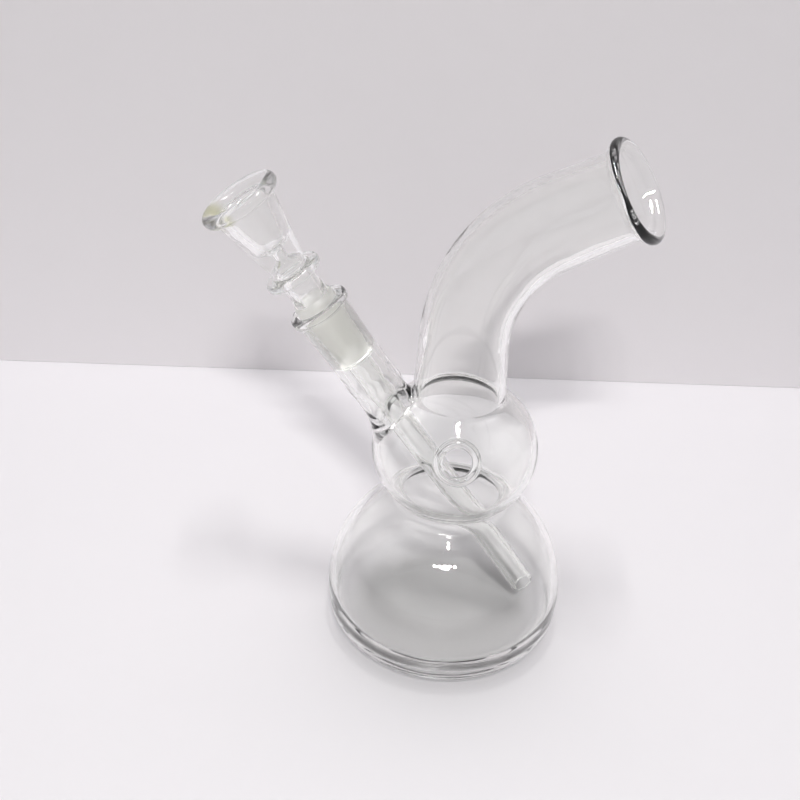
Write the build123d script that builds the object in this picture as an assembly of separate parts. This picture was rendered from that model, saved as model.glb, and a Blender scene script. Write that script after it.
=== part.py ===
from build123d import *
import math
import os

# Clear borosilicate glass water pipe: a double-bubble body with a bent, flared neck, a carb hole
# and a slanted ground-glass socket, and a slide (bowl, ground cone and downstem) that lifts out.
# Millimetres. +Z up, origin on the body axis at the table. The neck bends toward +X,
# the slide leans toward -X, the carb hole looks toward -Y.

os.makedirs("parts", exist_ok=True)

# ---- body of revolution ----
LOWER_R = 44.2            # lower bulb, outside radius
LOWER_Z = 19.5            # height of its widest point
HEEL_R = 15.0             # rounded edge where the bulb turns under to the base
WALL = 2.6                # blown wall
BASE_THICK = 5.0          # glass gathers at the base
HEEL_IN_R = 15.5          # the same turn inside
WAIST_R = 4.0             # concave turn between the two bulbs
UPPER_R = 23.95           # upper bulb: arc radius, swung about a circle of UPPER_OFF
UPPER_OFF = 6.05
UPPER_Z = 81.2
NECK_R = 16.5             # neck, outside radius at its foot
NECK_TURN = 2.6           # concave turn from upper bulb into neck

# ---- neck and mouth ----
BEND_Z = 125.0            # height where the neck starts to bend
BEND_R = 59.6
BEND_DEG = 57.0
BEND_TUBE_R = 15.5        # the tube draws in as it is bent
NECK_YAW = 18.0           # the bend swings this far from the slide's plane, toward the carb side
NECK_END = 22.0           # straight run after the bend
MOUTH_R = 14.5
FLARE_R = 8.0
FLARE_DEG = 46.6
LIP_BEAD = 1.9

# ---- carb hole ----
CARB_RISE = 29.4          # tilt of the hole above level, square to the bulb there
CARB_HOLE_R = 5.0
CARB_RING_R = 7.5
CARB_STAND = 1.5
CARB_SEAT_R = 11.0        # the patch of bulb wall that the hole is made in

# ---- slanted socket, measured along its own axis ----
TILT_DEG = 55.0           # socket axis above level
CROSS_Z = 63.5            # where that axis crosses the body axis
ARM_LEN = 47.15           # from the bulb to the socket's mouth
RIM_LEN = 3.0
RIM_LIP = 1.4             # the rim stands out from the socket
GROUND_LEN = 20.0         # ground length
GAUGE_R = 7.25            # 14.5 mm cone, taken at the top of the ground length
TAPER = 0.05              # radius lost per mm: 1 in 10 on diameter
GROUND_GAP = 0.05         # radial gap between the ground faces
RIM_GAP = 0.35            # the rim stands clear of the cone
ARM_GAP = 0.45            # the arm's bore stands clear of the cone's small end
SOCKET_WALL = 2.2
ARM_WALL = 2.2
ARM_FLARE_R = 7.0         # concave turn where the arm is sealed to the bulb
ARM_FLARE_DEG = 42.0
ARM_FLARE_UP = 6.65       # where that turn starts, up from the bulb

# ---- slide ----
CONE_OVER = 1.5           # ground cone runs this far past each end of the socket's ground length
SLIDE_BORE_R = 4.2
STEM_R = 4.5
STEM_BORE_R = 3.0
STEM_LEN = 117.0          # downstem, from the ground cone to its open tip
SLIDE_NECK_IN = 1.2       # the neck above the cone is this much slimmer
MARIA_UP = 13.9           # middle of the ring, up from the socket's mouth
MARIA_R = 10.3
MARIA_THICK = 3.4
BOWL_STEM_R = 6.4
BOWL_STEM_LEN = 6.4       # from the ring to the bowl's base
BOWL_BASE_R = 7.6
BOWL_TALL = 20.0
BOWL_TOP_R = 11.2
BOWL_WALL = 2.8
BOWL_HOLE_R = 1.6
BOWL_FLOOR = 3.0
BOWL_RIM_R = 14.4
BOWL_BEAD = 2.5


def meet(c1, r1, c2, r2):
    """Point right of the axis lying r1 from centre c1 and r2 from centre c2."""
    dx = c2[0] - c1[0]
    dz = c2[1] - c1[1]
    d = math.hypot(dx, dz)
    along = (r1 * r1 - r2 * r2 + d * d) / (2 * d)
    across = math.sqrt(r1 * r1 - along * along)
    return (c1[0] + along * dx / d + across * dz / d, c1[1] + along * dz / d - across * dx / d)


def toward(c, p, r):
    """Point r from c on the line from c to p."""
    d = math.hypot(p[0] - c[0], p[1] - c[1])
    return (c[0] + (p[0] - c[0]) * r / d, c[1] + (p[1] - c[1]) * r / d)


def at(c, r, deg):
    return (c[0] + r * math.cos(math.radians(deg)), c[1] + r * math.sin(math.radians(deg)))


def arc(c, r, p, q):
    """Arc of radius r about c from p to q, the short way round."""
    mid = ((p[0] + q[0]) / 2, (p[1] + q[1]) / 2)
    m = toward(c, mid, r)
    return ThreePointArc((p[0], 0, p[1]), (m[0], 0, m[1]), (q[0], 0, q[1]))


def line(p, q):
    return Line((p[0], 0, p[1]), (q[0], 0, q[1]))


def spin(edges):
    return revolve(make_face(Wire(edges)), Axis.Z, 360)


def polygon(points):
    return [line(p, points[(i + 1) % len(points)]) for i, p in enumerate(points)]


LOWER_C = (0.0, LOWER_Z)
UPPER_C = (UPPER_OFF, UPPER_Z)
WAIST_C = meet(LOWER_C, LOWER_R + WAIST_R, UPPER_C, UPPER_R + WAIST_R)
NECK_C_R = NECK_R + NECK_TURN
NECK_Z = UPPER_Z + math.sqrt((UPPER_R + NECK_TURN) ** 2 - (NECK_C_R - UPPER_OFF) ** 2)
NECK_C = (NECK_C_R, NECK_Z)


def body(skin, floor_z, heel_r):
    """Solid inside the body wall, skin below the outside face, up to the foot of the neck."""
    low_r = LOWER_R - skin
    drop = LOWER_Z - floor_z
    heel_c = (math.sqrt((low_r - heel_r) ** 2 - (drop - heel_r) ** 2), floor_z + heel_r)
    a = (heel_c[0], floor_z)
    b = toward(LOWER_C, heel_c, low_r)
    c = toward(LOWER_C, WAIST_C, low_r)
    d = toward(UPPER_C, WAIST_C, UPPER_R - skin)
    e = toward(UPPER_C, NECK_C, UPPER_R - skin)
    f = (NECK_R - skin, NECK_Z)
    edges = [line((0, floor_z), a), arc(heel_c, heel_r, a, b), arc(LOWER_C, low_r, b, c)]
    edges += [arc(WAIST_C, WAIST_R + skin, c, d), arc(UPPER_C, UPPER_R - skin, d, e)]
    edges += [arc(NECK_C, NECK_TURN + skin, e, f), line(f, (0, NECK_Z)), line((0, NECK_Z), (0, floor_z))]
    return spin(edges), b[1]


outside, HEEL_Z = body(0, 0, HEEL_R)
inside, _ = body(WALL, BASE_THICK, HEEL_IN_R)
shell = outside - inside


def bands(z0, z1, count=1):
    """The body wall between two heights, as level bands of equal height."""
    tall = (z1 - z0) / count
    cuts = [Pos(0, 0, z0 + (i + 0.5) * tall) * Box(200, 200, tall) for i in range(count)]
    return [shell & cut for cut in cuts]


# Frames for the slanted pieces: local Z runs along the socket, and out of the carb hole.
tilt = math.radians(TILT_DEG)
SLANT = Location(Plane(origin=(0, 0, CROSS_Z), x_dir=(0, 1, 0), z_dir=(-math.cos(tilt), 0, math.sin(tilt))))
carb_p = at(UPPER_C, UPPER_R, CARB_RISE)
rise = math.radians(CARB_RISE)
CARB = Location(Plane(origin=(0, -carb_p[0], carb_p[1]), x_dir=(1, 0, 0), z_dir=(0, -math.cos(rise), math.sin(rise))))

# ---- the body wall, one blown piece, in level bands ----
[floor] = bands(0, BASE_THICK)
[heel] = bands(BASE_THICK, HEEL_Z)
lower, lower_shoulder, waist = bands(HEEL_Z, WAIST_C[1], 3)
upper_cup, upper = bands(WAIST_C[1], UPPER_Z, 2)
[upper_shoulder] = bands(UPPER_Z, carb_p[1])
[upper_crown] = bands(carb_p[1], NECK_Z)

# ---- neck tube: up, round the bend, and out to the mouth ----
bend = math.radians(BEND_DEG)
swing = Rot(0, 0, -NECK_YAW)
bend_mid = (BEND_R * (1 - math.cos(bend / 2)), 0, BEND_Z + BEND_R * math.sin(bend / 2))
bend_end = (BEND_R * (1 - math.cos(bend)), 0, BEND_Z + BEND_R * math.sin(bend))
bend_path = ThreePointArc((0, 0, BEND_Z), bend_mid, bend_end)
out_plane = Plane(origin=bend_end, x_dir=(0, 1, 0), z_dir=(math.sin(bend), 0, math.cos(bend)))
OUT = Location(out_plane)


def neck_solids(skin):
    """The neck's riser, bend and straight run as solid rods, skin below the outside face."""
    rise_len = BEND_Z - NECK_Z
    foot = Pos(0, 0, NECK_Z + rise_len / 2) * Cone(NECK_R - skin, BEND_TUBE_R - skin, rise_len)
    curve = sweep(Pos(0, 0, BEND_Z) * Circle(BEND_TUBE_R - skin), path=bend_path)
    run = OUT * Pos(0, 0, NECK_END / 2) * Cone(BEND_TUBE_R - skin, MOUTH_R - skin, NECK_END)
    return [swing * foot, swing * curve, swing * run]


neck_rods = neck_solids(0)
neck_riser, neck_bend, neck_run = [rod - core for rod, core in zip(neck_rods, neck_solids(WALL))]

# ---- mouth: the tube end flared and rolled into a bead ----
curl_c = (MOUTH_R - WALL / 2 + FLARE_R, 0.0)
turn = 180 - FLARE_DEG
out_r = FLARE_R - WALL / 2
in_r = FLARE_R + WALL / 2
curl = [line((MOUTH_R - WALL, 0), (MOUTH_R, 0)), arc(curl_c, out_r, (MOUTH_R, 0), at(curl_c, out_r, turn))]
curl += [line(at(curl_c, out_r, turn), at(curl_c, in_r, turn))]
curl += [arc(curl_c, in_r, at(curl_c, in_r, turn), (MOUTH_R - WALL, 0))]
bead_c = at(curl_c, FLARE_R, turn)
bead = Pos(bead_c[0], 0, bead_c[1]) * (Plane.XZ * Circle(LIP_BEAD))
lip = spin(curl) + revolve(bead, Axis.Z, 360)
lip = swing * OUT * Pos(0, 0, NECK_END) * lip

# ---- side arm, sealed to the upper bulb ----
# Distances along the socket's axis are taken from where it crosses the body axis.
slope = UPPER_OFF * math.cos(tilt) + (UPPER_Z - CROSS_Z) * math.sin(tilt)
reach = UPPER_OFF ** 2 + (UPPER_Z - CROSS_Z) ** 2 - UPPER_R ** 2
arm_seat = slope + math.sqrt(slope ** 2 - reach)
socket_top = arm_seat + ARM_LEN
ground_top = socket_top - RIM_LEN
ground_end = ground_top - GROUND_LEN


def cone_r(u):
    return GAUGE_R - TAPER * (ground_top - u)


arm_bore_r = cone_r(ground_end) + ARM_GAP
arm_r = arm_bore_r + ARM_WALL
flare_at = arm_seat + ARM_FLARE_UP
flare_c = (arm_r + ARM_FLARE_R, flare_at)
flare_q = at(flare_c, ARM_FLARE_R, 180 + ARM_FLARE_DEG)
arm_foot = arm_seat - UPPER_R / 2
arm_edges = [line((arm_bore_r, ground_end), (arm_r, ground_end)), line((arm_r, ground_end), (arm_r, flare_at))]
arm_edges += [arc(flare_c, ARM_FLARE_R, (arm_r, flare_at), flare_q), line(flare_q, (flare_q[0], arm_foot))]
arm_edges += [line((flare_q[0], arm_foot), (arm_bore_r, arm_foot)), line((arm_bore_r, arm_foot), (arm_bore_r, ground_end))]
arm = SLANT * spin(arm_edges) - outside - neck_rods[0]
arm_hole = SLANT * Pos(0, 0, socket_top / 2) * Cylinder(arm_bore_r, socket_top)
arm_hole = arm_hole & (Pos(-100, 0, CROSS_Z + 100) * Box(200, 200, 200))

# ---- carb hole and its fire-polished ring ----
half = (CARB_RING_R - CARB_HOLE_R) / 2
ring_mid = CARB_HOLE_R + half
carb_top = (ring_mid, CARB_STAND - half)
ring_edges = [line((CARB_HOLE_R, -4), (CARB_RING_R, -4)), line((CARB_RING_R, -4), (CARB_RING_R, carb_top[1]))]
ring_edges += [ThreePointArc((CARB_RING_R, 0, carb_top[1]), (ring_mid, 0, CARB_STAND), (CARB_HOLE_R, 0, carb_top[1]))]
ring_edges += [line((CARB_HOLE_R, carb_top[1]), (CARB_HOLE_R, -4))]
carb_rim = CARB * spin(ring_edges) - outside
carb_seat = (CARB * Cylinder(CARB_SEAT_R, 20)) & (upper_shoulder + upper_crown)
carb_seat = carb_seat - CARB * Cylinder(CARB_HOLE_R, 20)

upper = upper - arm_hole
upper_shoulder = upper_shoulder - arm_hole - CARB * Cylinder(CARB_SEAT_R, 20)
upper_crown = upper_crown - arm_hole - CARB * Cylinder(CARB_SEAT_R, 20)

# ---- ground socket and its rim ----
socket_out_r = GAUGE_R + GROUND_GAP + SOCKET_WALL
socket = spin(polygon([
    (cone_r(ground_end) + GROUND_GAP, ground_end), (arm_r, ground_end),
    (socket_out_r, ground_top), (cone_r(ground_top) + GROUND_GAP, ground_top),
]))
socket = SLANT * socket
rim_in = cone_r(socket_top) + RIM_GAP
rim = Pos(0, 0, ground_top + RIM_LEN / 2) * Cylinder(socket_out_r + RIM_LIP, RIM_LEN)
rim = fillet(rim.edges().filter_by(GeomType.CIRCLE), RIM_LEN * 0.45)
rim = rim - Pos(0, 0, ground_top + RIM_LEN / 2) * Cylinder(rim_in, RIM_LEN + 1)
rim = SLANT * rim

# ---- slide: ground cone, downstem, neck, maria, bowl ----
cone_top = socket_top + CONE_OVER
cone_end = ground_end - CONE_OVER
stem_tip = cone_end - STEM_LEN
neck_top_r = cone_r(cone_top) - SLIDE_NECK_IN
maria_at = socket_top + MARIA_UP
ground_cone = SLANT * spin(polygon([
    (STEM_BORE_R, cone_end), (cone_r(cone_end), cone_end), (cone_r(cone_top), cone_top),
    (SLIDE_BORE_R, cone_top), (SLIDE_BORE_R, cone_end + 5), (STEM_BORE_R, cone_end + 3),
]))
stem = SLANT * spin(polygon([
    (STEM_BORE_R, stem_tip), (STEM_R, stem_tip), (STEM_R, cone_end), (STEM_BORE_R, cone_end),
]))
maria_low = maria_at - MARIA_THICK / 2
maria_high = maria_at + MARIA_THICK / 2
slide_neck = SLANT * spin(polygon([
    (SLIDE_BORE_R, cone_top), (cone_r(cone_top), cone_top), (neck_top_r, cone_top + 3.5),
    (neck_top_r, maria_low - 2.5), (neck_top_r + 1.2, maria_low), (SLIDE_BORE_R, maria_low),
]))
maria = Pos(0, 0, maria_at) * Cylinder(MARIA_R, MARIA_THICK)
maria = fillet(maria.edges().filter_by(GeomType.CIRCLE), MARIA_THICK * 0.45)
maria = maria - Pos(0, 0, maria_at) * Cylinder(SLIDE_BORE_R, MARIA_THICK + 1)
maria = SLANT * maria

bowl_base_at = maria_high + BOWL_STEM_LEN
bowl_top_at = bowl_base_at + BOWL_TALL
bowl_floor_z = bowl_base_at - 0.5
bowl_pit = bowl_floor_z + BOWL_FLOOR
bowl = SLANT * spin(polygon([
    (SLIDE_BORE_R, maria_high), (BOWL_STEM_R, maria_high), (BOWL_BASE_R, bowl_base_at),
    (BOWL_TOP_R, bowl_top_at), (BOWL_TOP_R - BOWL_WALL, bowl_top_at),
    (BOWL_BASE_R - BOWL_WALL, bowl_pit + 2), (BOWL_HOLE_R, bowl_pit),
    (BOWL_HOLE_R, bowl_floor_z), (SLIDE_BORE_R, bowl_floor_z - 2.5),
]))
rim_mid_r = BOWL_RIM_R - BOWL_BEAD
bowl_bead_at = bowl_top_at + BOWL_BEAD
bowl_rim = Pos(rim_mid_r, 0, bowl_bead_at) * (Plane.XZ * Circle(BOWL_BEAD))
bowl_seat = spin(polygon([
    (BOWL_TOP_R - BOWL_WALL, bowl_top_at), (BOWL_TOP_R, bowl_top_at),
    (BOWL_TOP_R + 1.2, bowl_bead_at), (BOWL_TOP_R - BOWL_WALL + 0.9, bowl_bead_at),
]))
bowl_rim = SLANT * (revolve(bowl_rim, Axis.Z, 360) + bowl_seat)

pieces = {
    "base_floor": floor,
    "base_heel": heel,
    "lower_chamber": lower,
    "lower_shoulder": lower_shoulder,
    "waist_ring": waist,
    "upper_cup": upper_cup,
    "upper_chamber": upper,
    "upper_shoulder": upper_shoulder,
    "upper_crown": upper_crown,
    "neck_riser": neck_riser,
    "neck_bend": neck_bend,
    "neck_run": neck_run,
    "mouth_lip": lip,
    "side_arm": arm,
    "ground_socket": socket,
    "socket_rim": rim,
    "carb_seat": carb_seat,
    "carb_rim": carb_rim,
    "bowl": bowl,
    "bowl_rim": bowl_rim,
    "maria_ring": maria,
    "slide_neck": slide_neck,
    "ground_cone": ground_cone,
    "downstem_tube": stem,
}
for name, shape in pieces.items():
    export_step(shape, f"parts/{name}.step")
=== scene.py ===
import math

import bmesh
import bpy
from mathutils import Matrix, Vector, noise


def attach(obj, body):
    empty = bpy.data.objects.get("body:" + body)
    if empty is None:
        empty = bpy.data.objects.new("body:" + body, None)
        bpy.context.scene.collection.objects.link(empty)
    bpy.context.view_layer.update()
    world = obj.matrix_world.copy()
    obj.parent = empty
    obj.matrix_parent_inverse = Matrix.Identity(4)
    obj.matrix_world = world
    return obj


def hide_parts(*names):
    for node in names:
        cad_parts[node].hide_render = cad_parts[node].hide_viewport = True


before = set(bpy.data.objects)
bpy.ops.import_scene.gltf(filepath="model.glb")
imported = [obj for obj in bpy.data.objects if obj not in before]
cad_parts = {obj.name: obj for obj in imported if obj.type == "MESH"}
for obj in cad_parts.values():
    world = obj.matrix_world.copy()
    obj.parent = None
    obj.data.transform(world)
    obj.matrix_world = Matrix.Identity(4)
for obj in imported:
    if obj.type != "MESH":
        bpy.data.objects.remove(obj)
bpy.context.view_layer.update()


# ---- The two bulbs ---------------------------------------------------------------------------
# One wall of clear borosilicate glass, blown as a large flattened bulb with a smaller bulb above
# it. The glass gathers to a thick floor, and the outside turns under to a flat foot.

MM = 0.001
ROUND = 160                     # facets round the body
LOWER_R, LOWER_Z = 44.2, 19.5
HEEL_R, HEEL_IN_R = 15.0, 15.5
WALL, FLOOR_THICK = 2.6, 5.0
WAIST_R = 4.0
UPPER_R, UPPER_OFF, UPPER_Z = 23.95, 6.05, 81.2
NECK_R, NECK_TURN = 16.5, 2.6
BEND_Z, BEND_TUBE_R = 125.0, 15.5
FINE = 12                       # points held between one ring and the next


def meet(c1, r1, c2, r2):
    """Point right of the axis lying r1 from centre c1 and r2 from centre c2."""
    dx, dz = c2[0] - c1[0], c2[1] - c1[1]
    d = math.hypot(dx, dz)
    along = (r1 * r1 - r2 * r2 + d * d) / (2 * d)
    across = math.sqrt(r1 * r1 - along * along)
    return (c1[0] + along * dx / d + across * dz / d, c1[1] + along * dz / d - across * dx / d)


def toward(c, p, r):
    """Point r from c on the line from c to p."""
    d = math.hypot(p[0] - c[0], p[1] - c[1])
    return (c[0] + (p[0] - c[0]) * r / d, c[1] + (p[1] - c[1]) * r / d)


def straight(p, q, rings):
    n = rings * FINE
    return [(p[0] + (q[0] - p[0]) * i / n, p[1] + (q[1] - p[1]) * i / n) for i in range(n)]


def turn(c, p, q, rings):
    """The short way round c from p to q."""
    a = math.atan2(p[1] - c[1], p[0] - c[0])
    b = math.atan2(q[1] - c[1], q[0] - c[0])
    b = a + (b - a + math.pi) % (2 * math.pi) - math.pi
    r = math.hypot(p[0] - c[0], p[1] - c[1])
    n = rings * FINE
    angles = [a + (b - a) * i / n for i in range(n)]
    return [(c[0] + r * math.cos(t), c[1] + r * math.sin(t)) for t in angles]


LOWER_C = (0.0, LOWER_Z)
UPPER_C = (UPPER_OFF, UPPER_Z)
WAIST_C = meet(LOWER_C, LOWER_R + WAIST_R, UPPER_C, UPPER_R + WAIST_R)
NECK_C_R = NECK_R + NECK_TURN
NECK_Z = UPPER_Z + math.sqrt((UPPER_R + NECK_TURN) ** 2 - (NECK_C_R - UPPER_OFF) ** 2)
NECK_C = (NECK_C_R, NECK_Z)


def wall_line(skin, floor_z, heel_r):
    """Half section of the wall's face, skin below the outside, from the axis up to the bend."""
    low_r = LOWER_R - skin
    drop = LOWER_Z - floor_z
    heel_c = (math.sqrt((low_r - heel_r) ** 2 - (drop - heel_r) ** 2), floor_z + heel_r)
    a = (heel_c[0], floor_z)
    b = toward(LOWER_C, heel_c, low_r)
    c = toward(LOWER_C, WAIST_C, low_r)
    d = toward(UPPER_C, WAIST_C, UPPER_R - skin)
    e = toward(UPPER_C, NECK_C, UPPER_R - skin)
    f = (NECK_R - skin, NECK_Z)
    g = (BEND_TUBE_R - skin, BEND_Z)
    line = straight((0, floor_z), a, 14) + turn(heel_c, a, b, 14) + turn(LOWER_C, b, c, 36)
    line += turn(WAIST_C, c, d, 10) + turn(UPPER_C, d, e, 34) + turn(NECK_C, e, f, 8)
    return line + straight(f, g, 14) + [g]


def ripple(p, scale, height):
    """Slow unevenness of hand-blown glass, never proud of the true face."""
    return -height * (0.5 + 0.5 * noise.noise(Vector(p) * scale))


class Face:
    """One side of the body wall: a point for each place round the axis and ring up the wall."""

    def __init__(self, line, side, wave):
        self.line, self.side, self.wave = line, side, wave
        self.rings = (len(line) - 1) // FINE

    def spot(self, i, j):
        t = min(max(j * FINE, 0), len(self.line) - 1)
        k = min(int(t), len(self.line) - 2)
        (r0, z0), (r1, z1) = self.line[k], self.line[k + 1]
        r, z = r0 + (r1 - r0) * (t - k), z0 + (z1 - z0) * (t - k)
        a = 2 * math.pi * i / ROUND
        p = Vector((r * math.cos(a), r * math.sin(a), z))
        if r < 1e-6 or not self.wave:
            return p
        lift = ripple(p, 0.045, self.wave) * min(1, z / 12, (BEND_Z - z) / 12 if z < BEND_Z else 0)
        return p + Vector((math.cos(a), math.sin(a), 0)) * lift * self.side

    def radius(self, z):
        """Radius at a height in the top half of the upper bulb or on the neck."""
        pts = [q for q in self.line if q[1] > UPPER_Z]
        lo, hi = 0, len(pts) - 1
        while hi - lo > 1:
            mid = (lo + hi) // 2
            lo, hi = (mid, hi) if pts[mid][1] <= z else (lo, mid)
        f = (z - pts[lo][1]) / max(1e-9, pts[hi][1] - pts[lo][1])
        return pts[lo][0] + (pts[hi][0] - pts[lo][0]) * f

    def place(self, p):
        """Column and ring numbers of a point on this face, above the upper bulb's widest."""
        first = next(k for k, q in enumerate(self.line) if q[1] > UPPER_Z)
        lo, hi = first, len(self.line) - 1
        while hi - lo > 1:
            mid = (lo + hi) // 2
            lo, hi = (mid, hi) if self.line[mid][1] <= p.z else (lo, mid)
        f = (p.z - self.line[lo][1]) / max(1e-9, self.line[hi][1] - self.line[lo][1])
        turn_part = math.atan2(p.y, p.x) / (2 * math.pi) % 1.0
        return turn_part * ROUND, (lo + f) / FINE


outer = Face(wall_line(0, 0, HEEL_R), 1, 0.10)
inner = Face(wall_line(WALL, FLOOR_THICK, HEEL_IN_R), -1, 0.25)
vessel = bmesh.new()


def ring(mesh, points):
    return [mesh.verts.new(p) for p in points]


def join(mesh, a, b, finish=0):
    """Faces between two closed rings of as many points."""
    n = len(a)
    for k in range(n):
        f = mesh.faces.new((a[k], a[(k + 1) % n], b[(k + 1) % n], b[k]))
        f.material_index = finish


def blow(face, holes):
    """Lay one face of the wall, leaving out the cells inside each hole's block."""
    grid = {}
    pole = vessel.verts.new(face.spot(0, 0))
    for j in range(1, face.rings + 1):
        for i in range(ROUND):
            if not any(i0 < i < i1 and j0 < j < j1 for i0, i1, j0, j1 in holes):
                grid[i, j] = vessel.verts.new(face.spot(i, j))
    for i in range(ROUND):
        n = (i + 1) % ROUND
        vessel.faces.new((pole, grid[i, 1], grid[n, 1]))
        for j in range(1, face.rings):
            if any(i0 <= i < i1 and j0 <= j < j1 for i0, i1, j0, j1 in holes):
                continue
            vessel.faces.new((grid[i, j], grid[n, j], grid[n, j + 1], grid[i, j + 1]))
    return grid


def block_edge(block):
    """The places round a hole's block, in order."""
    i0, i1, j0, j1 = block
    edge = [(i, j0) for i in range(i0, i1)] + [(i1, j) for j in range(j0, j1)]
    edge += [(i, j1) for i in range(i1, i0, -1)]
    return edge + [(i0, j) for j in range(j1, j0, -1)]


def patch(face, grid, block, loop, steps):
    """Fill the wall between a hole's block and its round edge, given as column and ring."""
    edge = block_edge(block)
    last = [grid[e] for e in edge]
    for s in range(1, steps + 1):
        f = s / steps
        spots = [face.spot(e[0] + (q[0] - e[0]) * f, e[1] + (q[1] - e[1]) * f) for e, q in zip(edge, loop)]
        new = ring(vessel, spots)
        join(vessel, last, new)
        last = new
    return last


# The slanted arm and the carb hole leave the upper bulb, each along its own axis.
TILT = math.radians(55.0)
ARM_AXIS = Vector((-math.cos(TILT), 0, math.sin(TILT)))
ARM_ACROSS = Vector((math.sin(TILT), 0, math.cos(TILT)))
SIDE = Vector((0, 1, 0))
ARM_FROM = Vector((0, 0, 63.5))
RISE = math.radians(29.4)
CARB_AXIS = Vector((0, -math.cos(RISE), math.sin(RISE)))
CARB_ACROSS = Vector((1, 0, 0))
CARB_UP = CARB_AXIS.cross(CARB_ACROSS)
CARB_FROM = Vector((0, -UPPER_OFF, UPPER_Z)) + CARB_AXIS * UPPER_R


class Stub:
    """A round branch of the wall: its axis, and two directions across it."""

    def __init__(self, at, axis, across, side, start, block):
        self.at, self.axis, self.across, self.side = at, axis, across, side
        self.start, self.block = start, block

    def point(self, r, a, u):
        return self.at + (self.across * math.cos(a) + self.side * math.sin(a)) * r + self.axis * u

    def angle(self, p):
        q = p - self.at
        return math.atan2(q.dot(self.side), q.dot(self.across))

    def hit(self, face, r, a):
        """How far up the axis a line beside it leaves the wall's face."""
        def out(u):
            p = self.point(r, a, u)
            return math.hypot(p.x, p.y) - face.radius(p.z)
        lo = self.start
        hi = lo + 0.5
        while out(hi) < 0:
            lo, hi = hi, hi + 0.5
        for _ in range(24):
            mid = (lo + hi) / 2
            lo, hi = (mid, hi) if out(mid) < 0 else (lo, mid)
        return (lo + hi) / 2

    def foot(self, face, wide, tube):
        """Angles round the hole, its edge on the wall, and where the turn's two tangents cross."""
        angles = [self.angle(face.spot(*e)) for e in block_edge(self.block)]
        loop, cross = [], []
        for a in angles:
            r0 = wide(a)
            u0 = self.hit(face, r0, a)
            p = self.point(r0, a, u0)
            loop.append(face.place(p))
            step = 0.05
            slope = (self.hit(face, r0 - step, a) - u0) / step
            cross.append(u0 + slope * (r0 - tube))
        return angles, loop, cross


def block_between(i0, i1, low, high):
    """The block of columns i0 to i1 that takes in the heights from low to high."""
    first, last = [outer.place(Vector((outer.radius(z), 0, z)))[1] for z in (low, high)]
    return i0, i1, math.floor(first), math.ceil(last)


arm = Stub(ARM_FROM, ARM_AXIS, ARM_ACROSS, SIDE, 22.0, block_between(64, 96, 81.9, 110.0))
carb = Stub(CARB_FROM, CARB_AXIS, CARB_ACROSS, CARB_UP, -6.0, block_between(109, 131, 83.8, 101.6))
holes = [arm.block, carb.block]
outer_grid = blow(outer, holes)
inner_grid = blow(inner, holes)


# ---- The slanted socket ----------------------------------------------------------------------
# A short tube sealed to the upper bulb in the flame, which leaves a full, slightly uneven weld.
# Its top is ground inside to a 14.5 mm cone, and the mouth is drawn out to a thick rolled rim.

ARM_R, ARM_BORE_R = 8.9, 6.7
ARM_MELT, ARM_MELT_UP = 1.3, 1.6  # the bore's edge inside the bulb is melted back by these
WELD_TOP = 48.0                 # the weld's turn runs out into the arm here
GROUND_END, GROUND_TOP, SOCKET_TOP = 65.5, 85.5, 88.5
SOCKET_R, RIM_R, RIM_IN_R = 9.5, 10.9, 7.75
GROUND_R = 7.30                 # at the top of the ground length, closing by 1 mm in 20
GROUND_END_R = GROUND_R - (GROUND_TOP - GROUND_END) / 20
CLEAR, GROUND, LOWER, UPPER = 0, 1, 2, 3  # finish numbers on the meshes


def curve(p0, p1, p2, t):
    """Point t of the way along a turn from p0 to p2, whose tangents cross at p1."""
    return tuple(a * (1 - t) ** 2 + 2 * b * t * (1 - t) + c * t * t for a, b, c in zip(p0, p1, p2))


def rounded(corners):
    """Section line through corners of (radius, height, rounding), every corner eased."""
    line = []
    for k, (r, u, ease) in enumerate(corners):
        if not ease or k in (0, len(corners) - 1):
            line.append((r, u))
            continue
        here = Vector((r, u))
        before, after = Vector(corners[k - 1][:2]) - here, Vector(corners[k + 1][:2]) - here
        cut = min(ease, before.length * 0.49, after.length * 0.49)
        p, q = here + before.normalized() * cut, here + after.normalized() * cut
        bend = math.pi - before.angle(after)
        n = max(3, math.ceil(bend / math.radians(18)))
        line += [curve(p, here, q, t / n) for t in range(n + 1)]
    return line


def filled(line, step):
    """The same line with no two points further apart than step."""
    full = [line[0]]
    for p in line[1:]:
        q = full[-1]
        n = max(1, math.ceil(math.hypot(p[0] - q[0], p[1] - q[1]) / step))
        full += [(q[0] + (p[0] - q[0]) * i / n, q[1] + (p[1] - q[1]) * i / n) for i in range(1, n + 1)]
    return full


def even(angles):
    """Evenly spaced angles nearest to the given ones, in their order."""
    n = len(angles)
    steps = [(angles[(k + 1) % n] - a + math.pi) % (2 * math.pi) - math.pi for k, a in enumerate(angles)]
    way = 1 if sum(steps) > 0 else -1
    drift = [(a - way * 2 * math.pi * k / n) for k, a in enumerate(angles)]
    x = sum(math.cos(d) for d in drift)
    y = sum(math.sin(d) for d in drift)
    first = math.atan2(y, x)
    return [first + way * 2 * math.pi * k / n for k in range(n)]


def between(a, b, t):
    """Angle t of the way from a to b, the short way round."""
    return a + ((b - a + math.pi) % (2 * math.pi) - math.pi) * t


def weld_width(a):
    """The weld spreads 4.3 mm on the bulb and 1.8 mm in the narrow crotch beside the neck."""
    away = 0.5 - 0.5 * math.cos(a)
    return ARM_R + 1.8 + 2.5 * min(1, away * 1.5)


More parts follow.
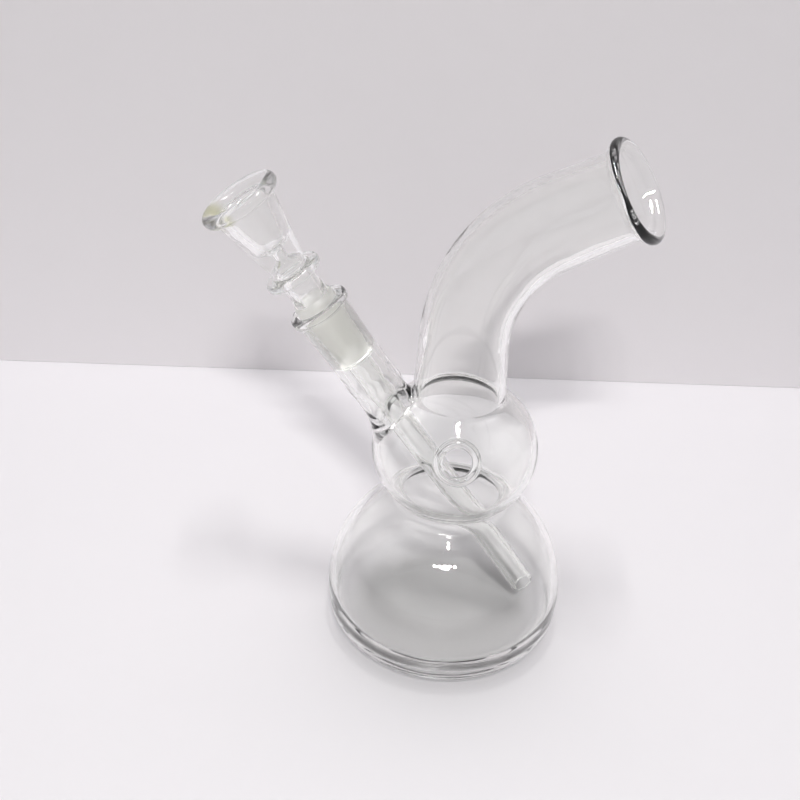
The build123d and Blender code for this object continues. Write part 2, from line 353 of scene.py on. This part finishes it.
def arm_lump(a, u):
    """The arm's outside is a little lumpy where it was worked, and true at the socket."""
    fade = max(0.0, min(1.0, (63 - u) / 8)) * max(0.0, min(1.0, (u - 41) / 4))
    p = Vector((math.cos(a) * 1.6, math.sin(a) * 1.6, u * 0.22))
    return fade * 0.55 * noise.noise(p)


outer_angles, loop, cross = arm.foot(outer, weld_width, ARM_R)
last = patch(outer, outer_grid, arm.block, loop, 8)
true_angles = even(outer_angles)
starts = [arm.hit(outer, weld_width(a), a) for a in outer_angles]
for t in [k / 10 for k in range(1, 11)]:
    new = []
    for a, u0, u1 in zip(outer_angles, starts, cross):
        r, u = curve((weld_width(a), u0), (ARM_R, u1), (ARM_R, WELD_TOP), t)
        new.append(arm.point(r + arm_lump(a, u), a, u))
    new = ring(vessel, new)
    join(vessel, last, new)
    last = new

socket_line = filled(rounded([
    (ARM_R, WELD_TOP, 0), (ARM_R, GROUND_END, 4.0), (SOCKET_R, GROUND_TOP, 0.5), (RIM_R, GROUND_TOP, 1.3),
    (RIM_R, SOCKET_TOP, 1.3), (RIM_IN_R, SOCKET_TOP, 0.6), (RIM_IN_R, GROUND_TOP, 0.25),
    (GROUND_R, GROUND_TOP, 0.12), (GROUND_END_R, GROUND_END, 0.12), (ARM_BORE_R, GROUND_END, 0.12),
    (ARM_BORE_R, GROUND_END - 4, 0),
]), 1.6)
inside = False
for k, (r, u) in enumerate(socket_line[1:], 1):
    t = min(1.0, k / 8)
    inside = inside or r < GROUND_R + 0.02
    ground = inside and GROUND_END + 0.1 < u <= GROUND_TOP
    round_angles = [between(a, b, t) for a, b in zip(outer_angles, true_angles)]
    new = ring(vessel, [arm.point(r + (0 if inside else arm_lump(a, u)), a, u) for a in round_angles])
    join(vessel, last, new, GROUND if ground else CLEAR)
    last = new


def bore(stub, last, true_angles, r, u_from, shares, melt, melt_up, steps, patch_steps):
    """Down the bore to the inside of the bulb, where the edge is melted round."""
    angles, loop, cross = stub.foot(inner, lambda a: r + melt, r)
    edge = patch(inner, inner_grid, stub.block, loop, patch_steps)
    starts = [stub.hit(inner, r + melt, a) for a in angles]
    edge_rings = []
    for k in range(1, steps + 1):
        points = []
        for a, u0, u1 in zip(angles, starts, cross):
            turn_r, u = curve((r + melt, u0), (r, u1), (r, u1 + melt_up), k / steps)
            points.append(stub.point(turn_r, a, u))
        edge_rings.append(ring(vessel, points))
    for t in shares:
        points = []
        for a, b, u1 in zip(true_angles, angles, cross):
            points.append(stub.point(r, between(a, b, t), u_from + (u1 + melt_up - u_from) * t))
        new = ring(vessel, points)
        join(vessel, last, new)
        last = new
    for new in edge_rings[::-1] + [edge]:
        join(vessel, last, new)
        last = new


bore(arm, last, true_angles, ARM_BORE_R, socket_line[-1][1], [k / 12 for k in range(1, 12)],
     ARM_MELT, ARM_MELT_UP, 5, 8)


# ---- The carb hole ---------------------------------------------------------------------------
# A hole blown through the upper bulb's wall. A thick ring of glass is laid round it and melted
# smooth, to make a seat for the fingertip that covers it.

CARB_HOLE_R, CARB_RING_R, CARB_STAND = 5.0, 7.5, 1.5
CARB_WELD_R = CARB_RING_R + 0.9  # the ring's weld spreads this far on the bulb
CARB_FOOT = 0.25                # height at which the weld has run out into the ring
CARB_MELT = 0.8
carb_angles, loop, cross = carb.foot(outer, lambda a: CARB_WELD_R, CARB_RING_R)
last = patch(outer, outer_grid, carb.block, loop, 6)
starts = [carb.hit(outer, CARB_WELD_R, a) for a in carb_angles]
true_angles = even(carb_angles)
for t in [k / 4 for k in range(1, 5)]:
    new = []
    for a, b, u0, u1 in zip(carb_angles, true_angles, starts, cross):
        r, u = curve((CARB_WELD_R, u0), (CARB_RING_R, u1), (CARB_RING_R, CARB_FOOT), t)
        new.append(carb.point(r, between(a, b, t * 0.5), u))
    new = ring(vessel, new)
    join(vessel, last, new)
    last = new
half = (CARB_RING_R - CARB_HOLE_R) / 2
for k in range(1, 15):
    b = math.pi * k / 15
    r = CARB_HOLE_R + half + half * math.cos(b)
    u = CARB_FOOT + (CARB_STAND - CARB_FOOT) * math.sin(b)
    t = min(1.0, 0.5 + k / 20)
    new = ring(vessel, [carb.point(r, between(a, c, t), u) for a, c in zip(carb_angles, true_angles)])
    join(vessel, last, new)
    last = new
bore(carb, last, true_angles, CARB_HOLE_R, CARB_FOOT, (0.0, 0.34, 0.67), CARB_MELT, CARB_MELT, 4, 6)


# ---- The neck and mouth ----------------------------------------------------------------------
# The bulb is drawn up into a wide tube, bent over in the flame, and flared at the end. The lip is
# rolled to a thick bead and fire polished.

BEND_R, BEND = 59.6, math.radians(57.0)
YAW = math.radians(18.0)        # the bend swings toward the carb side
RUN, MOUTH_R = 22.0, 14.5
FLARE_R, FLARE = 8.0, math.radians(46.6)
LIP_BEAD = 1.9
BEAD_BLEND = 1.18               # the flare's two sides meet the bead this many bead radii from its middle
OUT = Vector((math.sin(BEND), 0, math.cos(BEND)))
swing = Matrix.Rotation(-YAW, 3, "Z")


def neck_ring(r, lean, centre):
    """Ring of the tube about a point of its middle line, leaning over by an angle."""
    across = Vector((math.cos(lean), 0, -math.sin(lean)))
    angles = [2 * math.pi * i / ROUND + YAW for i in range(ROUND)]
    return [swing @ (centre + across * (r * math.cos(a)) + SIDE * (r * math.sin(a))) for a in angles]


def bend_point(lean):
    """The middle of the bent tube where it leans over by an angle."""
    return Vector((BEND_R * (1 - math.cos(lean)), 0, BEND_Z + BEND_R * math.sin(lean)))


def draw_neck(skin, first):
    """One face of the bent tube, as far as the flare."""
    last = first
    side = 1 if not skin else -1
    wave = 0.12 if not skin else 0.3
    rows = [(BEND_TUBE_R, BEND * k / 36, bend_point(BEND * k / 36)) for k in range(1, 37)]
    for k in range(1, 13):
        r = BEND_TUBE_R + (MOUTH_R - BEND_TUBE_R) * k / 12
        rows.append((r, BEND, bend_point(BEND) + OUT * (RUN * k / 12)))
    for k, (r, lean, centre) in enumerate(rows, 1):
        true = neck_ring(r - skin, lean, centre)
        middle = swing @ centre
        fade = min(1.0, k / 6, (len(rows) - k) / 4)
        moved = [p + (p - middle).normalized() * ripple(p, 0.05, wave) * side * fade for p in true]
        new = ring(vessel, moved)
        join(vessel, last, new)
        last = new
    return last


outer_end = draw_neck(0, [outer_grid[i, outer.rings] for i in range(ROUND)])
inner_end = draw_neck(WALL, [inner_grid[i, inner.rings] for i in range(ROUND)])

curl_c = (MOUTH_R - WALL / 2 + FLARE_R, 0.0)
bead_c = (curl_c[0] + FLARE_R * math.cos(math.pi - FLARE), FLARE_R * math.sin(math.pi - FLARE))


def flare_side(r):
    """One side of the flare, from the tube's end as far as the bead."""
    line = []
    for k in range(1, 60):
        a = math.pi - FLARE * k / 40
        p = (curl_c[0] + r * math.cos(a), r * math.sin(a))
        if math.hypot(p[0] - bead_c[0], p[1] - bead_c[1]) < LIP_BEAD * BEAD_BLEND:
            break
        line.append(p)
    return line


def bead_angle(p):
    return math.atan2(p[1] - bead_c[1], p[0] - bead_c[0])


lip_line = [(MOUTH_R, 0)] + flare_side(FLARE_R - WALL / 2)
back_line = flare_side(FLARE_R + WALL / 2)
start, stop = bead_angle(lip_line[-1]), bead_angle(back_line[-1])
stop = start + (stop - start) % (2 * math.pi)
for k in range(1, 26):
    a = start + (stop - start) * k / 26
    grow = min(1.0, k / 3, (26 - k) / 3)
    r = LIP_BEAD * (BEAD_BLEND - (BEAD_BLEND - 1) * grow)
    lip_line.append((bead_c[0] + r * math.cos(a), bead_c[1] + r * math.sin(a)))
lip_line = filled(lip_line + back_line[::-1] + [(MOUTH_R - WALL, 0)], 0.7)
smooth = list(lip_line)
for _ in range(6):
    for k in range(1, len(smooth) - 1):
        three = zip(smooth[k - 1], smooth[k], smooth[k + 1])
        smooth[k] = tuple(0.25 * a + 0.5 * b + 0.25 * c for a, b, c in three)
mouth_at = bend_point(BEND) + OUT * RUN
last = outer_end
for r, u in smooth[1:-1]:
    new = ring(vessel, neck_ring(r, BEND, mouth_at + OUT * u))
    join(vessel, last, new)
    last = new
join(vessel, last, inner_end)


def glass_piece(name, mesh):
    """Turn the gathered faces into a piece, in metres, faces outward and shaded smooth."""
    bmesh.ops.scale(mesh, vec=(MM, MM, MM), verts=mesh.verts)
    bmesh.ops.recalc_face_normals(mesh, faces=mesh.faces)
    if mesh.calc_volume(signed=True) < 0:
        bmesh.ops.reverse_faces(mesh, faces=mesh.faces)
    for f in mesh.faces:
        f.smooth = True
    data = bpy.data.meshes.new(name)
    mesh.to_mesh(data)
    mesh.free()
    piece = bpy.data.objects.new(name, data)
    bpy.context.scene.collection.objects.link(piece)
    return piece


def clear_glass(name, ripple_scale, ripple_height, lets_by, edge_lets_by):
    """Clear borosilicate: faint ripple from blowing, and a trace of dust and handling.

    lets_by is the share of a lamp's light that each face passes on into the shadow, head on.
    """
    mat = bpy.data.materials.new(name)
    mat.use_nodes = True
    n, l = mat.node_tree.nodes, mat.node_tree.links
    n.clear()
    where = n.new("ShaderNodeTexCoord")
    waves = n.new("ShaderNodeTexNoise")
    waves.inputs["Scale"].default_value = ripple_scale
    waves.inputs["Detail"].default_value = 2.0
    l.new(where.outputs["Object"], waves.inputs["Vector"])
    bump = n.new("ShaderNodeBump")
    bump.inputs["Strength"].default_value = 1.0
    bump.inputs["Distance"].default_value = ripple_height
    l.new(waves.outputs["Fac"], bump.inputs["Height"])
    dust = n.new("ShaderNodeTexNoise")
    dust.inputs["Scale"].default_value = 240.0
    dust.inputs["Detail"].default_value = 6.0
    l.new(where.outputs["Object"], dust.inputs["Vector"])
    rough = n.new("ShaderNodeMapRange")
    rough.inputs["From Min"].default_value = 0.5
    rough.inputs["From Max"].default_value = 0.75
    rough.inputs["To Min"].default_value = 0.0
    rough.inputs["To Max"].default_value = 0.06
    l.new(dust.outputs["Fac"], rough.inputs["Value"])
    glass = n.new("ShaderNodeBsdfPrincipled")
    glass.inputs["Base Color"].default_value = (0.985, 0.99, 0.98, 1)
    glass.inputs["IOR"].default_value = 1.473
    glass.inputs["Transmission Weight"].default_value = 1.0
    l.new(rough.outputs["Result"], glass.inputs["Roughness"])
    l.new(bump.outputs["Normal"], glass.inputs["Normal"])
    edge = n.new("ShaderNodeLayerWeight")
    edge.inputs["Blend"].default_value = 0.18
    shade = n.new("ShaderNodeMix")
    shade.data_type = "RGBA"
    shade.inputs["A"].default_value = (lets_by, lets_by, lets_by, 1)
    shade.inputs["B"].default_value = (edge_lets_by, edge_lets_by, edge_lets_by * 1.03, 1)
    l.new(edge.outputs["Facing"], shade.inputs["Factor"])
    through = n.new("ShaderNodeBsdfTransparent")
    l.new(shade.outputs["Result"], through.inputs["Color"])
    light = n.new("ShaderNodeLightPath")
    mix = n.new("ShaderNodeMixShader")
    l.new(light.outputs["Is Shadow Ray"], mix.inputs["Fac"])
    l.new(glass.outputs["BSDF"], mix.inputs[1])
    l.new(through.outputs["BSDF"], mix.inputs[2])
    out = n.new("ShaderNodeOutputMaterial")
    l.new(mix.outputs["Shader"], out.inputs["Surface"])
    return mat


def ground_glass(name):
    """Ground joint face: fine grey frost with a fine grain and rubbed patches."""
    mat = clear_glass(name, 900.0, 0.00006, 0.72, 0.4)
    n, l = mat.node_tree.nodes, mat.node_tree.links
    glass = next(x for x in n if x.type == "BSDF_PRINCIPLED")
    glass.inputs["Base Color"].default_value = (0.975, 0.98, 0.945, 1)
    glass.inputs["Transmission Weight"].default_value = 0.97
    rough = next(x for x in n if x.type == "MAP_RANGE")
    rough.inputs["To Min"].default_value = 0.42
    rough.inputs["To Max"].default_value = 0.62
    return mat


vessel = glass_piece("glass_body", vessel)
vessel.data.materials.append(clear_glass("blown_body_glass", 55.0, 0.00012, 0.78, 0.04))
frosted = ground_glass("ground_joint_glass")
vessel.data.materials.append(frosted)
vessel.data.materials.append(clear_glass("lower_bulb_glass", 40.0, 0.00014, 1.0, 0.5))
vessel.data.materials.append(clear_glass("upper_bulb_glass", 50.0, 0.00013, 0.975, 0.06))
BULB_REACH = 31.0               # takes in the upper bulb and leaves out the arm
for f in vessel.data.polygons:
    near = math.hypot(f.center.x, f.center.y) < BULB_REACH * MM
    if near and f.material_index == CLEAR and f.center.z < NECK_Z * MM:
        f.material_index = UPPER
    if f.center.z < WAIST_C[1] * MM:
        f.material_index = LOWER
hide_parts("base_floor", "base_heel", "lower_chamber", "lower_shoulder", "waist_ring", "upper_cup")
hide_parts("upper_chamber", "upper_shoulder", "upper_crown", "carb_seat", "carb_rim")
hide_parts("side_arm", "ground_socket", "socket_rim", "neck_riser", "neck_bend", "neck_run", "mouth_lip")
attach(vessel, "vessel")


# ---- The slide -------------------------------------------------------------------------------
# A bowl, a thick ring to lift it by, a ground cone and a long downstem, joined in the flame into
# one piece with a single bore. It drops into the ground socket and lifts straight out of it.

STEM_TIP, CONE_END, CONE_TOP = -53.0, 64.0, 90.0
STEM_R, STEM_BORE_R = 4.5, 3.0
CONE_END_R, CONE_TOP_R = 6.175, 7.475
SLIDE_NECK_R, SLIDE_BORE_R = 6.275, 4.2
RING_LOW, RING_HIGH, RING_R = 100.7, 104.1, 10.3
BOWL_BASE, BOWL_TOP = 110.5, 130.5
BOWL_RIM_R, BOWL_BEAD = 14.4, 2.5
BOWL_STEM_R, BOWL_BASE_R, BOWL_TOP_R = 6.4, 7.6, 11.2
BOWL_IN_R, BOWL_WELL_R, BOWL_HOLE_R = 8.4, 4.8, 1.6
SLIDE_ROUND = 128

bead_r, bead_u = BOWL_RIM_R - BOWL_BEAD, BOWL_TOP + BOWL_BEAD
bowl_bead = []
for k in range(31):
    a = math.radians(-62 + 262 * k / 30)
    bowl_bead.append((bead_r + BOWL_BEAD * math.cos(a), bead_u + BOWL_BEAD * math.sin(a), 0))
slide_line = filled(rounded([
    (STEM_BORE_R, STEM_TIP + 10, 0), (STEM_BORE_R, STEM_TIP, 0.7), (STEM_R, STEM_TIP, 0.7),
    (STEM_R, CONE_END, 0.6), (CONE_END_R, CONE_END, 0.4), (CONE_TOP_R, CONE_TOP, 0.5),
    (SLIDE_NECK_R, CONE_TOP + 3.5, 2.0), (SLIDE_NECK_R, RING_LOW - 2.5, 1.5),
    (CONE_TOP_R, RING_LOW, 0.8), (RING_R, RING_LOW, 1.5), (RING_R, RING_HIGH, 1.5),
    (BOWL_STEM_R, RING_HIGH, 1.2), (BOWL_BASE_R, BOWL_BASE, 3.0), (BOWL_TOP_R, BOWL_TOP, 0.9),
] + bowl_bead + [
    (BOWL_IN_R, BOWL_TOP, 1.5), (BOWL_WELL_R, 115.0, 1.5), (BOWL_HOLE_R, 113.0, 0.5),
    (BOWL_HOLE_R, 110.0, 0.5), (SLIDE_BORE_R, 107.5, 1.5),
    (SLIDE_BORE_R, 69.0, 1.5), (STEM_BORE_R, 67.0, 1.5), (STEM_BORE_R, STEM_TIP + 10, 0),
]), 1.7)[:-1]


def slide_lump(r, a, u):
    """Unevenness of the worked stretch from the neck to the bowl, inward only, none on the cone."""
    fade = max(0.0, min(1.0, (u - 91) / 3)) * max(0.0, min(1.0, (136 - u) / 3))
    p = Vector((math.cos(a) * 1.3, math.sin(a) * 1.3, u * 0.16))
    return -fade * 0.45 * (0.5 + 0.5 * noise.noise(p)) * min(1.0, r / 6)


slide = bmesh.new()
around = [2 * math.pi * k / SLIDE_ROUND for k in range(SLIDE_ROUND)]
slide_rings = []
for r, u in slide_line:
    slide_rings.append(ring(slide, [arm.point(r + slide_lump(r, a, u), a, u) for a in around]))
for k, here in enumerate(slide_rings):
    r, u = slide_line[k]
    ground = CONE_END + 0.3 < u < CONE_TOP + 1.0 and r > STEM_R + 1
    join(slide, here, slide_rings[(k + 1) % len(slide_rings)], GROUND if ground else CLEAR)
slide = glass_piece("glass_slide", slide)
slide_glass = clear_glass("worked_slide_glass", 120.0, 0.00022, 0.80, 0.04)
slide.data.materials.append(slide_glass)
slide.data.materials.append(frosted)

# Painted highlight: an olive tint is painted into the bowl's bead on the side that dips lowest, where the
# thick glass shows a coloured highlight.
n, l = slide_glass.node_tree.nodes, slide_glass.node_tree.links
where = n.new("ShaderNodeTexCoord")
centre = n.new("ShaderNodeMapping")
olive_highlight_at = (ARM_FROM - ARM_ACROSS * bead_r + ARM_AXIS * bead_u) * MM
centre.inputs["Location"].default_value = tuple(-olive_highlight_at)
l.new(where.outputs["Object"], centre.inputs["Vector"])
reach = n.new("ShaderNodeVectorMath")
reach.operation = "LENGTH"
l.new(centre.outputs["Vector"], reach.inputs[0])
fade = n.new("ShaderNodeMapRange")
fade.interpolation_type = "SMOOTHSTEP"
fade.inputs["From Min"].default_value = 0.0035
fade.inputs["From Max"].default_value = 0.0085
l.new(reach.outputs["Value"], fade.inputs["Value"])
# Painted highlight: the olive tint is mixed into the glass colour near that end of the bead.
olive_highlight_tint = n.new("ShaderNodeMix")
olive_highlight_tint.data_type = "RGBA"
olive_highlight_tint.inputs["A"].default_value = (0.74, 0.76, 0.52, 1)
olive_highlight_tint.inputs["B"].default_value = (0.985, 0.99, 0.98, 1)
l.new(fade.outputs["Result"], olive_highlight_tint.inputs["Factor"])
l.new(olive_highlight_tint.outputs["Result"], next(x for x in n if x.type == "BSDF_PRINCIPLED").inputs["Base Color"])
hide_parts("bowl", "bowl_rim", "maria_ring", "slide_neck", "ground_cone", "downstem_tube")
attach(slide, "slide")


# ---- The table and backdrop ------------------------------------------------------------------
# A sheet of matt white paper on the table, and a pale grey board standing behind it, each with painted light
# in its tone.

def paper(name, colour, axis, start, end, low, high):
    """Matt paper, faintly clouded, with painted light: its tone goes from low to high of its colour along an
    axis, as the lamps' light falls off across it.
    """
    mat = bpy.data.materials.new(name)
    mat.use_nodes = True
    n, l = mat.node_tree.nodes, mat.node_tree.links
    matt = n["Principled BSDF"]
    matt.inputs["Roughness"].default_value = 0.85
    matt.inputs["Specular IOR Level"].default_value = 0.2
    where = n.new("ShaderNodeTexCoord")
    cloud = n.new("ShaderNodeTexNoise")
    cloud.inputs["Scale"].default_value = 7.0
    cloud.inputs["Detail"].default_value = 5.0
    l.new(where.outputs["Object"], cloud.inputs["Vector"])
    tone = n.new("ShaderNodeMix")
    tone.data_type = "RGBA"
    tone.inputs["A"].default_value = (*[c * low for c in colour], 1)
    tone.inputs["B"].default_value = (*[c * high for c in colour], 1)
    split = n.new("ShaderNodeSeparateXYZ")
    l.new(where.outputs["Object"], split.inputs["Vector"])
    # Painted light: the tone's slope along the axis stands in for the lamps' light falling off.
    painted_falloff = n.new("ShaderNodeMapRange")
    painted_falloff.inputs["From Min"].default_value = start
    painted_falloff.inputs["From Max"].default_value = end
    l.new(split.outputs[axis], painted_falloff.inputs["Value"])
    blot = n.new("ShaderNodeMath")
    blot.operation = "MULTIPLY_ADD"
    blot.inputs[1].default_value = 0.06
    l.new(cloud.outputs["Fac"], blot.inputs[0])
    l.new(painted_falloff.outputs["Result"], blot.inputs[2])
    l.new(blot.outputs["Value"], tone.inputs["Factor"])
    l.new(tone.outputs["Result"], matt.inputs["Base Color"])
    grain = n.new("ShaderNodeTexNoise")
    grain.inputs["Scale"].default_value = 900.0
    l.new(where.outputs["Object"], grain.inputs["Vector"])
    bump = n.new("ShaderNodeBump")
    bump.inputs["Strength"].default_value = 0.15
    bump.inputs["Distance"].default_value = 0.0002
    l.new(grain.outputs["Fac"], bump.inputs["Height"])
    l.new(bump.outputs["Normal"], matt.inputs["Normal"])
    return mat


def sheet(name, corners, mat):
    data = bpy.data.meshes.new(name)
    data.from_pydata(corners, [], [(0, 1, 2, 3)])
    data.materials.append(mat)
    piece = bpy.data.objects.new(name, data)
    bpy.context.scene.collection.objects.link(piece)
    return piece


board_from, board_to = Vector((-0.224, 0.1726, 0)), Vector((0.1859, 0.1913, 0))
along = (board_to - board_from).normalized()
board_l = board_from - along * 1.2
board_r = board_to + along * 1.2
up = Vector((0, 0, 0.9))
# The paper has painted shade: darker toward the front and lighter toward the board, as the lamps' light falls
# off.
sheet("table_paper", [(-1.5, -1.6, -0.0002), (1.6, -1.6, -0.0002), (1.6, 0.6, -0.0002), (-1.5, 0.6, -0.0002)],
      paper("white_paper", (0.86, 0.845, 0.87), "Y", -0.25, 0.17, 0.88, 1.10))
# The board has painted light: lighter at its foot, where light comes up off the paper, and darker toward the
# top.
sheet("back_board", [tuple(board_l), tuple(board_r), tuple(board_r + up), tuple(board_l + up)],
      paper("grey_board", (0.66, 0.64, 0.655), "Z", 0.0, 0.30, 1.17, 0.86))


# ---- Light and camera ------------------------------------------------------------------------
# Two short rows of small lamps overhead, one over the pipe and one in front, in a pale room.
# Ten more lamps only show in the gloss, as rows of glints.

def lamp(name, at, size, power):
    data = bpy.data.lights.new(name, "AREA")
    data.shape = "DISK"
    data.size = size
    data.energy = power
    data.color = (1.0, 0.985, 0.97)
    obj = bpy.data.objects.new(name, data)
    bpy.context.scene.collection.objects.link(obj)
    obj.location = at
    obj.rotation_euler = (Vector((0, 0.02, 0.05)) - Vector(at)).to_track_quat("-Z", "Y").to_euler()
    return obj


for k in range(4):
    lamp("lamp_overhead_%d" % (k + 1), (-0.005, -0.185 + 0.03 * k, 0.79), 0.02, 0.36)
for k in range(4):
    lamp("lamp_front_%d" % (k + 1), (-0.062 + 0.03 * k, -0.654, 0.76), 0.02, 1.33)

for k in range(5):
    row_at = (0.02, -0.30 + 0.08 * k, 0.79)
    bar_at = (-0.18 + 0.08 * k, -0.60, 0.76)
    for name, at in (("shine_row", row_at), ("shine_bar", bar_at)):
        shine = lamp("%s_%d" % (name, k + 1), at, 0.05, 0.9)
        shine.visible_diffuse = False
        shine.visible_transmission = False

# Glass shows the room paler than its light falls on the paper.
world = bpy.data.worlds.new("pale_room")
bpy.context.scene.world = world
world.use_nodes = True
n, l = world.node_tree.nodes, world.node_tree.links
room = n["Background"]
room.inputs["Color"].default_value = (0.97, 0.975, 1.0, 1)
ray = n.new("ShaderNodeLightPath")
seen = n.new("ShaderNodeMath")
seen.operation = "MAXIMUM"
level = n.new("ShaderNodeMapRange")
level.inputs["To Min"].default_value = 0.30
level.inputs["To Max"].default_value = 0.75
l.new(ray.outputs["Is Transmission Ray"], seen.inputs[0])
l.new(ray.outputs["Is Glossy Ray"], seen.inputs[1])
l.new(seen.outputs["Value"], level.inputs["Value"])
l.new(level.outputs["Result"], room.inputs["Strength"])

camera = bpy.data.objects.new("camera", bpy.data.cameras.new("camera"))
bpy.context.scene.collection.objects.link(camera)
camera.data.sensor_width = 36.0
camera.data.lens = 58.5
camera.data.clip_start = 0.01
right = Vector((0.99828, 0.03140, 0.04949))
down = Vector((0.05861, -0.53491, -0.84288))
ahead = right.cross(down)
facing = Matrix((right, -down, -ahead)).transposed().to_4x4()
camera.matrix_world = Matrix.Translation((-0.0207, -0.3875, 0.3456)) @ facing
scene = bpy.context.scene
scene.camera = camera
scene.view_settings.view_transform = "Standard"
scene.cycles.max_bounces = 40
scene.cycles.transmission_bounces = 40
scene.cycles.glossy_bounces = 12
scene.cycles.transparent_max_bounces = 40
scene.cycles.caustics_refractive = False
scene.cycles.caustics_reflective = False
